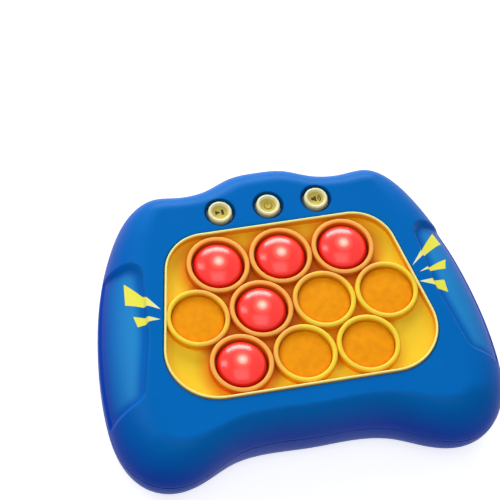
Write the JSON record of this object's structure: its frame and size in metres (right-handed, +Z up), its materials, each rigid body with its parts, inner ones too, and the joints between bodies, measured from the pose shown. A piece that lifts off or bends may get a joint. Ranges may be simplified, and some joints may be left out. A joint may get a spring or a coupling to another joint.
{
  "type": "electronic bubble pop game",
  "caption": "Hand-held game in a controller-shaped casing with a bright panel of round pop bubbles, round control buttons and a battery door below.",
  "frame": {"origin": "middle of the toy's footprint, on the surface that it rests on", "axes": "+X across the toy to the player's right, +Y from the player to the far side with the control buttons, +Z up"},
  "size_m": [0.156, 0.1271, 0.0405],
  "materials": {
    "blue_casing": "moulded plastic, satin gloss",
    "yellow_panel": "moulded plastic, satin gloss",
    "red_silicone": "lit translucent silicone",
    "orange_silicone": "translucent silicone",
    "cream_button": "moulded plastic, satin",
    "clear_plunger": "clear moulded plastic",
    "white_tray": "moulded plastic",
    "green_board": "solder mask",
    "black_switch": "moulded plastic",
    "clear_lamp": "clear lens",
    "black_potting": "epoxy",
    "speaker_steel": "pressed steel",
    "dark_magnet": "plated",
    "paper_cone": "coated paper",
    "nickel_contact": "nickel plated",
    "zinc_screw": "zinc plated",
    "red_lead": "insulated wire",
    "black_lead": "insulated wire",
    "cell_jacket": "printed jacket"
  },
  "bodies": {
    "casing": {"top_shell": "blue_casing", "bottom_shell": "blue_casing", "case_screws": "zinc_screw", "bubble_panel": "yellow_panel", "bubble_tray": "white_tray", "tray_screws": "zinc_screw", "main_board": "green_board", "bubble_switches": "black_switch", "bubble_leds": "clear_lamp", "control_switches": "black_switch", "controller_chip": "black_potting", "board_parts": "black_potting", "speaker_frame": "speaker_steel", "speaker_magnet": "dark_magnet", "speaker_cone": "paper_cone", "battery_contacts": "nickel_contact", "battery_springs": "nickel_contact", "battery_leads": "red_lead", "speaker_leads": "black_lead", "battery_1": "cell_jacket", "battery_2": "cell_jacket", "battery_3": "cell_jacket"},
    "battery_cover": {"battery_door": "blue_casing", "battery_door_screws": "zinc_screw"},
    "mode_button": {"mode_button": "cream_button"},
    "power_button": {"power_button": "cream_button"},
    "sound_button": {"sound_button": "cream_button"},
    "bubble_back_1": {"bubble_back_1": "red_silicone", "plunger_back_1": "clear_plunger"},
    "bubble_back_2": {"bubble_back_2": "red_silicone", "plunger_back_2": "clear_plunger"},
    "bubble_back_3": {"bubble_back_3": "red_silicone", "plunger_back_3": "clear_plunger"},
    "bubble_middle_1": {"bubble_middle_1": "orange_silicone", "plunger_middle_1": "clear_plunger"},
    "bubble_middle_2": {"bubble_middle_2": "red_silicone", "plunger_middle_2": "clear_plunger"},
    "bubble_middle_3": {"bubble_middle_3": "orange_silicone", "plunger_middle_3": "clear_plunger"},
    "bubble_middle_4": {"bubble_middle_4": "orange_silicone", "plunger_middle_4": "clear_plunger"},
    "bubble_front_1": {"bubble_front_1": "red_silicone", "plunger_front_1": "clear_plunger"},
    "bubble_front_2": {"bubble_front_2": "orange_silicone", "plunger_front_2": "clear_plunger"},
    "bubble_front_3": {"bubble_front_3": "orange_silicone", "plunger_front_3": "clear_plunger"}
  },
  "joints": [
    {"name": "battery_cover_lift", "type": "slide", "parent": "casing", "child": "battery_cover", "axis": [0, 0, 1], "range_m": [-0.025, 0]},
    {"name": "mode_button_press", "type": "slide", "parent": "casing", "child": "mode_button", "axis": [0, 0, 1], "range_m": [-0.0009, 0], "stiffness_N_per_m": 1600},
    {"name": "power_button_press", "type": "slide", "parent": "casing", "child": "power_button", "axis": [0, 0, 1], "range_m": [-0.0009, 0], "stiffness_N_per_m": 1600},
    {"name": "sound_button_press", "type": "slide", "parent": "casing", "child": "sound_button", "axis": [0, 0, 1], "range_m": [-0.0009, 0], "stiffness_N_per_m": 1600},
    {"name": "pop_back_1", "type": "slide", "parent": "casing", "child": "bubble_back_1", "axis": [0, 0, 1], "range_m": [-0.0036, 0]},
    {"name": "pop_back_2", "type": "slide", "parent": "casing", "child": "bubble_back_2", "axis": [0, 0, 1], "range_m": [-0.0036, 0]},
    {"name": "pop_back_3", "type": "slide", "parent": "casing", "child": "bubble_back_3", "axis": [0, 0, 1], "range_m": [-0.0036, 0]},
    {"name": "pop_middle_1", "type": "slide", "parent": "casing", "child": "bubble_middle_1", "axis": [0, 0, 1], "range_m": [0, 0.0036]},
    {"name": "pop_middle_2", "type": "slide", "parent": "casing", "child": "bubble_middle_2", "axis": [0, 0, 1], "range_m": [-0.0036, 0]},
    {"name": "pop_middle_3", "type": "slide", "parent": "casing", "child": "bubble_middle_3", "axis": [0, 0, 1], "range_m": [0, 0.0036]},
    {"name": "pop_middle_4", "type": "slide", "parent": "casing", "child": "bubble_middle_4", "axis": [0, 0, 1], "range_m": [0, 0.0036]},
    {"name": "pop_front_1", "type": "slide", "parent": "casing", "child": "bubble_front_1", "axis": [0, 0, 1], "range_m": [-0.0036, 0]},
    {"name": "pop_front_2", "type": "slide", "parent": "casing", "child": "bubble_front_2", "axis": [0, 0, 1], "range_m": [0, 0.0036]},
    {"name": "pop_front_3", "type": "slide", "parent": "casing", "child": "bubble_front_3", "axis": [0, 0, 1], "range_m": [0, 0.0036]}
  ]
}
